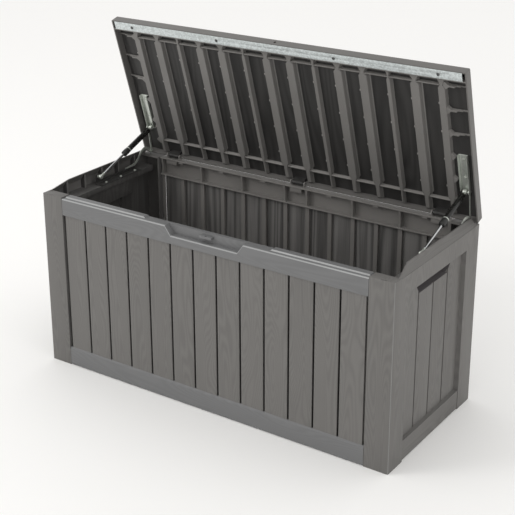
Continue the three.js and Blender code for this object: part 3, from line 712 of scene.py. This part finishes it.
thick = shell.modifiers.new("thickness", "SOLIDIFY")
thick.thickness, thick.offset, thick.use_even_offset = skin, -1, True
bpy.context.view_layer.update()
tray_mesh = bpy.data.meshes.new_from_object(
    shell.evaluated_get(bpy.context.evaluated_depsgraph_get()))
bpy.data.objects.remove(shell)
tray = bmesh.new()
tray.from_mesh(tray_mesh)
# A hole in the front skirt, over the keeper, for the padlock.
drill = bmesh.new()
bmesh.ops.create_cone(drill, segments=20, radius1=0.0045, radius2=0.0045, depth=0.02, cap_ends=True,
                      matrix=Matrix.Translation((0, -lid_reach, 0.009))
                      @ Matrix.Rotation(math.pi / 2, 4, "X"))
tray = cut_out(tray, drill)
# The undersides of the troughs between the ribs take the painted shade.
for face in tray.faces:
    is_trough = face.normal.z < -0.5 and face.calc_center_median().z > 0.015
    face.material_index = in_trough_shade if is_trough else in_skirt

# Boards on the outside.
outer_boards = grow(board_row, Boards=wall_boards, Pitch=wall_pitch, Width=wall_pitch - 0.005,
                    Thickness=0.004, Length=field_rear - field_front, Edge=0.0012, Crown=0.0,
                    Finish=lid_board_finish)
pour(tray, outer_boards, on_lid_board, Matrix.Translation((0, field_rear, lid_top - 0.0021))
     @ Matrix.Rotation(math.pi / 2, 4, "X"))

# Ribs: one broad rib, copied along the lid and narrowed where the crest is narrow. Each station has
# its Y from the hinge line, half the crest's width there and the crest's height.
rib = bmesh.new()
crest, foot_z, crest_z = 0.0132, lid_top - 0.0055, 0.004
stations = [(-0.001, 0.0062, 0.0130), (-0.009, 0.0062, crest_z), (-0.047, 0.0062, crest_z),
            (-0.0505, 0.0066, crest_z), (-0.064, crest, crest_z), (-0.428, crest, crest_z),
            (-0.4365, 0.0052, crest_z), (-0.442, 0.0060, crest_z), (-0.4585, 0.0150, crest_z)]
rings = []
for y, half, tip in stations:
    spread = min(0.010, 0.003 + half * 0.6)
    outline = [(-half + 0.0009, tip), (-half, tip + 0.0010), (-half - 0.0008, foot_z - 0.010),
               (-half - 0.0022, foot_z - 0.0035), (-half - spread, foot_z + 0.0015),
               (half + spread, foot_z + 0.0015), (half + 0.0022, foot_z - 0.0035),
               (half + 0.0008, foot_z - 0.010), (half, tip + 0.0010), (half - 0.0009, tip)]
    rings.append([(x, y, z) for x, z in outline])
loft(rib, rings)
rib = as_shape(rib)


def width_row_tree():
    """Ribs at the places of the points it is given, each as broad as its point says."""
    tree, size = sized_tree("Row of lid ribs", {
        "Rib": "Object", "Places": "Object", "Finish": "Material",
    })
    places = fit(tree, "GeometryNodeObjectInfo", {"Object": size["Places"]}).outputs["Geometry"]
    broad = fit(tree, "GeometryNodeInputNamedAttribute", {"Name": "breadth"}, data_type="FLOAT")
    scale = fit(tree, "ShaderNodeCombineXYZ", {0: broad.outputs[0], 1: 1.0, 2: 1.0}).outputs[0]
    shape = fit(tree, "GeometryNodeObjectInfo", {"Object": size["Rib"]}).outputs["Geometry"]
    row = fit(tree, "GeometryNodeInstanceOnPoints", {
        "Points": places, "Instance": shape, "Scale": scale,
    }).outputs[0]
    return end_tree(tree, row, size["Finish"])


rib_x = [(i - wall_boards / 2) * wall_pitch for i in range(wall_boards + 1)]
places = bpy.data.meshes.new("rib_places")
places.from_pydata([(x, 0, 0) for x in rib_x], [], [])
breadth = places.attributes.new("breadth", "FLOAT", "POINT")
# Counted from the middle, the second and fifth ribs are narrow, and the end ones a little slimmer.
narrow = {2: 0.42, 5: 0.42, 7: 0.8}
widths = [narrow.get(round(abs(x) / wall_pitch + 0.5), 1.0) for x in rib_x]
breadth.data.foreach_set("value", widths)
places = bpy.data.objects.new("rib_places", places)
bpy.context.scene.collection.objects.link(places)
pour(tray, grow(width_row_tree(), Rib=rib, Places=places, Finish=lid_lit_rib_finish), on_rib)
bpy.data.objects.remove(rib)
bpy.data.objects.remove(places)

# Cross webs near both ends of the ribs and the wall behind the front lip. Webs in line with them, and
# four more between, run on past the end ribs: flared at the rib, and stepped down to the rim.
web_front, web_rear = -0.436, -0.050
for y in (web_front, web_rear):
    slab(tray, (-0.540, y - 0.0015, 0.0062), (0.540, y + 0.0015, under), on_rib)
slab(tray, (-inner_x, -0.463, lid_skirt), (inner_x, -0.4592, under), in_skirt)
web_step = (web_front - web_rear) / 5
# Each row is a distance from the middle of the lid, half the web's thickness and its lower edge.
flare = [(0.535, 0.0140, 0.0060), (0.5430, 0.0125, 0.0060)]
to_rim = flare + [(0.5560, 0.0021, 0.0060), (0.573, 0.0015, 0.0042), (0.5755, 0.0014, 0.0110),
                  (0.588, 0.0014, 0.0120), (0.5895, 0.0014, 0.0150), (inner_x, 0.0013, 0.0155)]
# The three nearest the hinge stop short of the bracket.
to_bracket = flare + [(0.5550, 0.0021, 0.0060)]
for side in (-1, 1):
    for rows, first in ((to_rim, web_front), (to_bracket, web_rear + 2 * web_step)):
        web = bmesh.new()
        loft(web, [[(side * x, -h, tip), (side * x, h, tip), (side * x, h, under),
                    (side * x, -h, under)] for x, h, tip in rows])
        web = as_shape(web)
        pour(tray, grow(piece_row, Shape=web, Count=3, Start=(0, first, 0),
                        Step=(0, -web_step, 0), Finish=lid_lit_rib_finish), on_rib)
        bpy.data.objects.remove(web)
# Ejector pins leave a small pip on the left edge of each rib's crest.
# The pips take the same painted highlight finish.
pip = bmesh.new()
slab(pip, (-0.0012, -0.0030, crest_z - 0.0004), (0.0012, 0.0030, crest_z + 0.0010), 0, 0.0004)
pip = as_shape(pip)
for i, x in enumerate(rib_x):
    edge = x - crest * widths[i] - 0.0004
    pips = grow(piece_row, Shape=pip, Count=4, Start=(edge, -0.104, 0), Step=(0, -0.092, 0),
                Finish=lid_lit_rib_finish)
    pour(tray, pips, on_lit_face)
bpy.data.objects.remove(pip)
# Knuckles that the pins run in, and their stems, in the dark painted shade of the troughs.
knuckle, knuckle_half = 0.0064, 0.0195
stem = [(0.002, 0.0215), (-0.0085, 0.0215), (-knuckle, 0.0)]
stem += [(knuckle * math.cos(a), knuckle * math.sin(a))
         for a in (math.pi + math.pi * i / 10 for i in range(1, 11))]
for x in hinge_x:
    loft(tray, [[(x + dx, y, z) for y, z in stem] for dx in (-knuckle_half, knuckle_half)], in_trough_shade)
# The faces of the ribs and webs that look towards the lip are painted twice as light as the resin, as a
# highlight.
bmesh.ops.recalc_face_normals(tray, faces=tray.faces)
for face in tray.faces:
    if face.material_index == on_rib and face.normal.y < -0.7 and face.calc_center_median().y < -0.03:
        face.material_index = on_lit_face
bmesh.ops.transform(tray, matrix=swing, verts=tray.verts)
turn_out("lid", tray, (lid_edge_finish, lid_lit_rib_finish, lid_trough_grain_and_shade, lid_board_finish,
                       lid_lit_face_finish), "lid", ["lid_panel"])

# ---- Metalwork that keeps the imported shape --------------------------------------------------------
# The strip under the lid's lip is galvanised sheet, held by four screws. The arms on the ledges are
# dark steel; the arms in the lid, the goosenecks, studs and rivets are zinc plated, and the hinge
# pins are polished rod.


def metal(name, tone, rough, metallic, spangle=0.0, cell=220.0):
    """Plated or painted steel; spangle is how much its crystals differ in tone."""
    material, tree, place = bare_material(name)
    crystal = fit(tree, "ShaderNodeTexVoronoi", {"Vector": place, "Scale": cell}).outputs["Color"]
    grey = fit(tree, "ShaderNodeSeparateXYZ", {0: crystal}).outputs[0]
    cloud = fit(tree, "ShaderNodeTexNoise", {"Vector": place, "Scale": 60.0, "Detail": 3.0}).outputs[0]
    colour = two_tones(tree, blend(tree, (grey, spangle), (cloud, 0.5 * (1 - spangle))),
                       [c * 0.82 for c in tone], [min(1, c * 1.12) for c in tone], 0.1, 0.8)
    shader = fit(tree, "ShaderNodeBsdfPrincipled", {
        "Base Color": colour, "Metallic": metallic,
        "Roughness": sums(tree, "MULTIPLY_ADD", grey, 0.16 * (spangle + 0.3), rough - 0.05),
    })
    fit(tree, "ShaderNodeOutputMaterial", {0: shader.outputs[0]})
    return material


galvanised = metal("galvanised_sheet", (0.58, 0.62, 0.62), 0.5, 0.4, spangle=0.8)
zinc = metal("zinc_plate", (0.60, 0.63, 0.58), 0.33, 0.6, spangle=0.2)
dull_zinc = metal("dull_zinc_plate", (0.10, 0.10, 0.10), 0.5, 0.5, spangle=0.2)
dark_steel = metal("dark_steel", (0.060, 0.058, 0.056), 0.45, 0.3)
black_paint = metal("black_strut_paint", (0.010, 0.010, 0.009), 0.3, 0.1)
black_plastic = metal("black_plastic", (0.016, 0.016, 0.015), 0.5, 0.0)
bright_rod = metal("polished_rod", (0.62, 0.63, 0.64), 0.16, 1.0)

steel_pieces = [("lid_reinforcing_strip", galvanised, "galvanised_steel", "lid")]
for part, finish, slot, body in (
        ("base_arm", dark_steel, "dark_steel", "box"),
        ("gooseneck", zinc, "zinc_plate", "box"),
        ("base_ball_stud", zinc, "zinc_plate", "box"),
        ("pivot_rivet", zinc, "zinc_plate", "box"),
        ("lid_arm", zinc, "zinc_plate", "lid"),
        ("lid_ball_stud", zinc, "zinc_plate", "lid")):
    steel_pieces += [(f"{name}_{part}", finish, slot, body) for name in ("left", "right")]
for node, finish, slot, body in steel_pieces:
    piece = eased_copy(node, 0.0003)
    turn_out(f"{node}_steel", piece, (finish,), body, [node], soft_angle=35)
for pin in hinge_pins:
    pin.data.materials.clear()
    pin.data.materials.append(bright_rod)

# ---- Screws --------------------------------------------------------------------------------------
# Pan-head screws of plated steel with a cross recess: four in the strip, three in each arm on the
# ledges and two in each arm in the lid. Only the heads are made; the shanks are out of sight.
head = bmesh.new()
turns, head_height = 20, 0.0024
profile = [(0.0046, 0.0), (0.0046, 0.0008), (0.0041, 0.0017), (0.0028, 0.0023), (0.0014, 0.0025)]
loft(head, [[(r * math.cos(2 * math.pi * i / turns), r * math.sin(2 * math.pi * i / turns), z)
             for i in range(turns)] for r, z in profile])
recess = bmesh.new()
slab(recess, (-0.0024, -0.0005, 0.0012), (0.0024, 0.0005, 0.004), 0, 0.0001)
slab(recess, (-0.0005, -0.0024, 0.0012), (0.0005, 0.0024, 0.004), 0, 0.0001)
head_shape = as_shape(cut_out(head, recess))


def screw_tree():
    """Screw heads on points, each turned by its own amount about its axis."""
    tree, size = sized_tree("Screw heads", {
        "Head": "Object", "Places": "Object", "Tilt": "Float", "Seed": "Int", "Finish": "Material",
    })
    places = fit(tree, "GeometryNodeObjectInfo", {"Object": size["Places"]}).outputs["Geometry"]
    shape = fit(tree, "GeometryNodeObjectInfo", {"Object": size["Head"]}).outputs["Geometry"]
    spin = fit(tree, "FunctionNodeRandomValue", {"Min": 0.0, "Max": 1.5, "Seed": size["Seed"]},
               data_type="FLOAT")
    turn = next(s for s in spin.outputs if s.enabled)
    spun = fit(tree, "ShaderNodeCombineXYZ", {0: 0.0, 2: turn}).outputs[0]
    lean = fit(tree, "ShaderNodeCombineXYZ", {0: size["Tilt"]}).outputs[0]
    row = fit(tree, "GeometryNodeInstanceOnPoints", {
        "Points": places, "Instance": shape, "Rotation": lean,
    }).outputs[0]
    turned_in = fit(tree, "GeometryNodeRotateInstances", {
        "Instances": row, "Rotation": spun, "Local Space": True,
    }).outputs[0]
    return end_tree(tree, turned_in, size["Finish"])


screws = screw_tree()
screw_sets = (
    ("strip_screws", [f"strip_screw_{i}" for i in range(1, 5)], "lid", math.pi - lid_angle, 3,
     dull_zinc),
    ("base_arm_screws", [f"{s}_base_arm_screw_{i}" for s in ("left", "right") for i in (1, 2, 3)],
     "box", 0.0, 5, zinc),
    ("lid_arm_screws", [f"{s}_lid_arm_screw_{i}" for s in ("left", "right") for i in (1, 2)],
     "lid", math.pi - lid_angle, 8, zinc),
)
for name, members, body, tilt, seed, finish in screw_sets:
    outward = Matrix.Rotation(tilt, 3, "X") @ Vector((0, 0, 1))
    spots = []
    for member in members:
        corners = [v.co for v in nodes[member].data.vertices]
        face = max(c.dot(outward) for c in corners)
        tops = [c for c in corners if face - c.dot(outward) < 0.0004]
        middle = sum(tops, Vector()) / len(tops)
        spots.append(middle - outward * head_height)
    mesh = bpy.data.meshes.new(name)
    mesh.from_pydata(spots, [], [])
    places = bpy.data.objects.new(name + "_places", mesh)
    bpy.context.scene.collection.objects.link(places)
    heads = bmesh.new()
    pour(heads, grow(screws, Head=head_shape, Places=places, Tilt=tilt, Seed=seed, Finish=finish))
    bpy.data.objects.remove(places)
    turn_out(name, heads, (finish,), body, members)
bpy.data.objects.remove(head_shape)

# ---- Gas struts ----------------------------------------------------------------------------------
# A polished rod slides in a black-painted cylinder, through a black collar with a bright ring. A
# plated socket at each end snaps on to a ball stud.


sideways = Vector((1, 0, 0))


def round_skin(mould, start, axis, spokes, rows, steps):
    """Adds a round shape about an axis: rows of distance along it and radius."""
    one, two = spokes
    loft(mould, [[start + axis * d + (one * math.cos(a) + two * math.sin(a)) * r
                  for a in (2 * math.pi * i / steps for i in range(steps))] for d, r in rows])


def turned(name, rows, finish, body, node, start, along):
    """A round piece turned about the strut's axis."""
    mould = bmesh.new()
    round_skin(mould, start, along, (sideways, along.cross(sideways)), rows, 32)
    turn_out(name, mould, (finish,), body, [node], soft_angle=32)


cup_back = [(-0.0060, 0.0052), (-0.0053, 0.0064), (-0.0040, 0.0070)]
hollow_cup = cup_back + [(0.0035, 0.0070), (0.0046, 0.0062), (0.0046, 0.0050), (0.0010, 0.0046)]
capped_cup = cup_back + [(0.0045, 0.0070), (0.0058, 0.0064)]
for name, side in (("left", -1), ("right", 1)):
    cups = [sum(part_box(f"{name}_{end}_ball_stud"), Vector()) / 2 for end in ("base", "lid")]
    strut_x = sum(c.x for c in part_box(f"{name}_rod")) / 2
    lower = Vector((strut_x, cups[0].y, cups[0].z))
    upper = Vector((strut_x, cups[1].y, cups[1].z))
    along = (upper - lower).normalized()
    length = (upper - lower).length
    turned(f"{name}_strut_rod", [(0.0203, 0.0034), (0.021, 0.004), (0.154, 0.004)],
           bright_rod, f"{name}_rod", f"{name}_rod", lower, along)
    turned(f"{name}_strut_cylinder",
           [(0.1285, 0.0078), (0.1292, 0.0086), (0.131, 0.009), (length - 0.0185, 0.009),
            (length - 0.0155, 0.0084), (length - 0.0142, 0.0066)],
           black_paint, f"{name}_cylinder", f"{name}_cylinder", lower, along)
    turned(f"{name}_strut_collar",
           [(0.1252, 0.0080), (0.1262, 0.0094), (0.128, 0.0100), (0.1445, 0.0100), (0.1462, 0.0096),
            (0.1469, 0.0090)],
           black_plastic, f"{name}_cylinder", f"{name}_guide_collar", lower, along)
    turned(f"{name}_strut_ring",
           [(0.1503, 0.0089), (0.1508, 0.0095), (0.1534, 0.0095), (0.1539, 0.0089)],
           zinc, f"{name}_cylinder", f"{name}_trim_ring", lower, along)
    for part, node, body, start, heading, neck, cup in (
            ("lower_socket", f"{name}_rod_socket", f"{name}_rod", lower, along, 0.0200, hollow_cup),
            ("upper_socket", f"{name}_cylinder_socket", f"{name}_cylinder", upper, -along, 0.0137,
             capped_cup)):
        mould = bmesh.new()
        upward = heading.cross(sideways)
        shank = [(0.0040, 0.0036), (0.0060, 0.0050), (0.0100, 0.0044), (neck - 0.001, 0.0044),
                 (neck, 0.0040)]
        round_skin(mould, start, heading, (sideways, upward), shank, 24)
        round_skin(mould, start, sideways * side, (along, upward), cup, 24)
        turn_out(f"{name}_strut_{part}", mould, (zinc,), body, [node], soft_angle=32)

# ---- Floor of the studio, lights and camera --------------------------------------------------------
# A plain pale floor with no edge in sight, a soft key light from the front left and a weak fill from
# the right. The camera stands in front, to the right of the box, and looks down on it.
studio = bpy.data.materials.new("studio_floor")
studio.use_nodes = True
shader = studio.node_tree.nodes["Principled BSDF"]
shader.inputs["Base Color"].default_value = (0.955, 0.950, 0.940, 1)
shader.inputs["Roughness"].default_value = 0.9
shader.inputs["Specular IOR Level"].default_value = 0.1
ground = bmesh.new()
bmesh.ops.create_circle(ground, segments=64, radius=40, cap_ends=True)
mesh = bpy.data.meshes.new("studio_floor")
ground.to_mesh(mesh)
ground.free()
mesh.materials.append(studio)
floor = bpy.data.objects.new("studio_floor", mesh)
bpy.context.scene.collection.objects.link(floor)

world = bpy.data.worlds.new("studio")
world.use_nodes = True
world.node_tree.nodes["Background"].inputs[0].default_value = (1.0, 0.995, 0.985, 1)
world.node_tree.nodes["Background"].inputs[1].default_value = 0.955
bpy.context.scene.world = world
bpy.context.scene.view_settings.view_transform = "Standard"


def softbox(name, place, target, size, power, colour=(1, 1, 1)):
    light = bpy.data.lights.new(name, "AREA")
    light.shape, light.size, light.energy, light.color = "DISK", size, power, colour
    lamp = bpy.data.objects.new(name, light)
    aim = Vector(target) - Vector(place)
    lamp.matrix_world = Matrix.Translation(place) @ aim.to_track_quat("-Z", "Y").to_matrix().to_4x4()
    bpy.context.scene.collection.objects.link(lamp)


softbox("key", (-3.2, -3.4, 3.4), (0, 0, 0.4), 2.2, 60, (1.0, 0.995, 0.985))
softbox("side_fill", (4.2, -1.2, 2.2), (0.2, 0, 0.4), 2.4, 8, (1.0, 0.99, 0.98))

yaw, pitch, roll = 0.5986, 0.3564, -0.0022
away = Vector((-math.sin(yaw) * math.cos(pitch), math.cos(yaw) * math.cos(pitch), -math.sin(pitch)))
across = Vector((math.cos(yaw), math.sin(yaw), 0))
upright = across.cross(away)
right = across * math.cos(roll) + upright * math.sin(roll)
top = upright * math.cos(roll) - across * math.sin(roll)
lens = bpy.data.cameras.new("camera")
lens.lens, lens.sensor_width, lens.shift_y = 86.0, 36.0, -0.0971
camera = bpy.data.objects.new("camera", lens)
axes = Matrix((right, top, -away)).transposed().to_4x4()
camera.matrix_world = Matrix.Translation((1.9488, -2.8458, 1.8522)) @ axes
bpy.context.scene.collection.objects.link(camera)
bpy.context.scene.camera = camera
